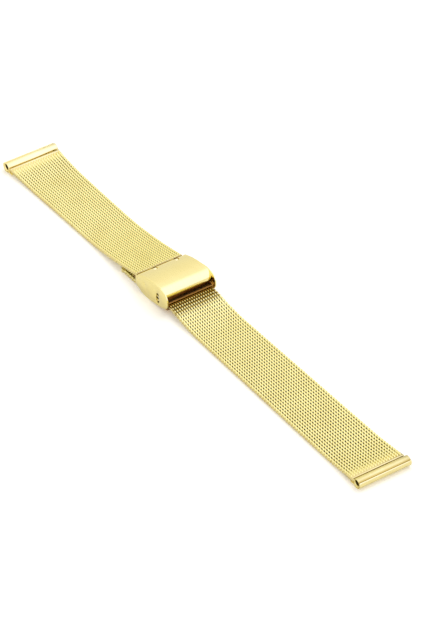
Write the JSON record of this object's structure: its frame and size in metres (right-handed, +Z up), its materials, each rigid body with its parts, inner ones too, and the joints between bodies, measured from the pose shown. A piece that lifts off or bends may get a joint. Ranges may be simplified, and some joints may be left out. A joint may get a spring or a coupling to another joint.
{
  "type": "milanese mesh watch band",
  "caption": "Fine woven metal mesh watch band whose straps join in a sliding clasp with a hinged cover, and end in tubes for spring bars.",
  "frame": {"origin": "middle of the band's length and width, on the table that the closed band lies on", "axes": "+X along the band towards the end of the long strap, +Y across it, +Z up"},
  "size_m": [0.1834, 0.018, 0.0077],
  "materials": {
    "mesh": "satin woven wire, pale gold plated",
    "polished": "polished, pale gold plated",
    "brushed": "fine brushed, pale gold plated",
    "pins": "turned, pale gold plated"
  },
  "bodies": {
    "slider": {"slider_frame": "brushed", "catch_bar": "pins", "lock_lever_pin": "pins"},
    "cover": {"clasp_cover": "polished", "cover_hinge_pin": "pins"},
    "hook": {"hook_plate": "brushed"},
    "lever": {"lock_lever": "brushed"},
    "long_strap_in_clasp": {"channel_mesh": "mesh"},
    "tongue": {"tongue_mesh": "mesh", "tongue_tip_cap": "polished"},
    "short_strap_1": {"short_strap_mesh_1": "mesh", "short_strap_clip": "brushed"},
    "short_strap_2": {"short_strap_mesh_2": "mesh"},
    "short_strap_3": {"short_strap_mesh_3": "mesh"},
    "short_strap_4": {"short_strap_mesh_4": "mesh"},
    "short_strap_5": {"short_strap_mesh_5": "mesh"},
    "short_strap_6": {"short_strap_mesh_6": "mesh", "short_lug_tube": "polished", "short_lug_cradle": "polished"},
    "long_strap_1": {"long_strap_mesh_1": "mesh"},
    "long_strap_2": {"long_strap_mesh_2": "mesh"},
    "long_strap_3": {"long_strap_mesh_3": "mesh"},
    "long_strap_4": {"long_strap_mesh_4": "mesh"},
    "long_strap_5": {"long_strap_mesh_5": "mesh"},
    "long_strap_6": {"long_strap_mesh_6": "mesh"},
    "long_strap_7": {"long_strap_mesh_7": "mesh"},
    "long_strap_8": {"long_strap_mesh_8": "mesh", "long_lug_tube": "polished", "long_lug_cradle": "polished"}
  },
  "joints": [
    {"name": "cover_hinge", "type": "hinge", "parent": "slider", "child": "cover", "pos_m": [-0.01865, 0, 0.0045], "axis": [0, -1, 0], "range_deg": [0, 100]},
    {"name": "hook_hinge", "type": "hinge", "parent": "slider", "child": "hook", "pos_m": [-0.01865, 0, 0.0045], "axis": [0, -1, 0], "range_deg": [0, 60]},
    {"name": "lever_hinge", "type": "hinge", "parent": "slider", "child": "lever", "pos_m": [-0.01431, 0, 0.00279], "axis": [0, -1, 0], "range_deg": [0, 80]},
    {"name": "strap_slide", "type": "slide", "parent": "slider", "child": "long_strap_in_clasp", "axis": [0.9933, 0, 0.1158], "range_m": [0, 0.005]},
    {"name": "short_strap_swivel", "type": "hinge", "parent": "slider", "child": "short_strap_1", "pos_m": [-0.01865, 0, 0.0045], "axis": [0, -1, 0], "range_deg": [-1.5, 15]},
    {"name": "tongue_flex", "type": "hinge", "parent": "long_strap_in_clasp", "child": "tongue", "pos_m": [-0.02015, 0, 0.0007], "axis": [0, -1, 0], "range_deg": [-2.5, 25]},
    {"name": "short_strap_flex_1", "type": "hinge", "parent": "short_strap_1", "child": "short_strap_2", "pos_m": [-0.03115, 0, 0.00213], "axis": [0, -1, 0], "range_deg": [-30, 30]},
    {"name": "short_strap_flex_2", "type": "hinge", "parent": "short_strap_2", "child": "short_strap_3", "pos_m": [-0.04415, 0, 0.0007], "axis": [0, -1, 0], "range_deg": [-30, 30]},
    {"name": "short_strap_flex_3", "type": "hinge", "parent": "short_strap_3", "child": "short_strap_4", "pos_m": [-0.05524, 0, 0.0007], "axis": [0, -1, 0], "range_deg": [-30, 30]},
    {"name": "short_strap_flex_4", "type": "hinge", "parent": "short_strap_4", "child": "short_strap_5", "pos_m": [-0.06632, 0, 0.0007], "axis": [0, -1, 0], "range_deg": [-30, 30]},
    {"name": "short_strap_flex_5", "type": "hinge", "parent": "short_strap_5", "child": "short_strap_6", "pos_m": [-0.07741, 0, 0.0007], "axis": [0, -1, 0], "range_deg": [-30, 30]},
    {"name": "long_strap_flex_1", "type": "hinge", "parent": "long_strap_in_clasp", "child": "long_strap_1", "pos_m": [-0.00385, 0, 0.0026], "axis": [0, -1, 0], "range_deg": [-20, 30]},
    {"name": "long_strap_flex_2", "type": "hinge", "parent": "long_strap_1", "child": "long_strap_2", "pos_m": [0.00805, 0, 0.0007], "axis": [0, -1, 0], "range_deg": [-30, 30]},
    {"name": "long_strap_flex_3", "type": "hinge", "parent": "long_strap_2", "child": "long_strap_3", "pos_m": [0.01961, 0, 0.0007], "axis": [0, -1, 0], "range_deg": [-30, 30]},
    {"name": "long_strap_flex_4", "type": "hinge", "parent": "long_strap_3", "child": "long_strap_4", "pos_m": [0.03117, 0, 0.0007], "axis": [0, -1, 0], "range_deg": [-30, 30]},
    {"name": "long_strap_flex_5", "type": "hinge", "parent": "long_strap_4", "child": "long_strap_5", "pos_m": [0.04273, 0, 0.0007], "axis": [0, -1, 0], "range_deg": [-30, 30]},
    {"name": "long_strap_flex_6", "type": "hinge", "parent": "long_strap_5", "child": "long_strap_6", "pos_m": [0.05429, 0, 0.0007], "axis": [0, -1, 0], "range_deg": [-30, 30]},
    {"name": "long_strap_flex_7", "type": "hinge", "parent": "long_strap_6", "child": "long_strap_7", "pos_m": [0.06585, 0, 0.0007], "axis": [0, -1, 0], "range_deg": [-30, 30]},
    {"name": "long_strap_flex_8", "type": "hinge", "parent": "long_strap_7", "child": "long_strap_8", "pos_m": [0.07741, 0, 0.0007], "axis": [0, -1, 0], "range_deg": [-30, 30]}
  ],
  "couplings": [
    {"joint": "hook_hinge", "follows": "cover_hinge", "ratio": 0.6},
    {"joint": "lever_hinge", "follows": "cover_hinge", "ratio": 0.8},
    {"joint": "tongue_flex", "follows": "short_strap_swivel", "ratio": 1.66}
  ]
}
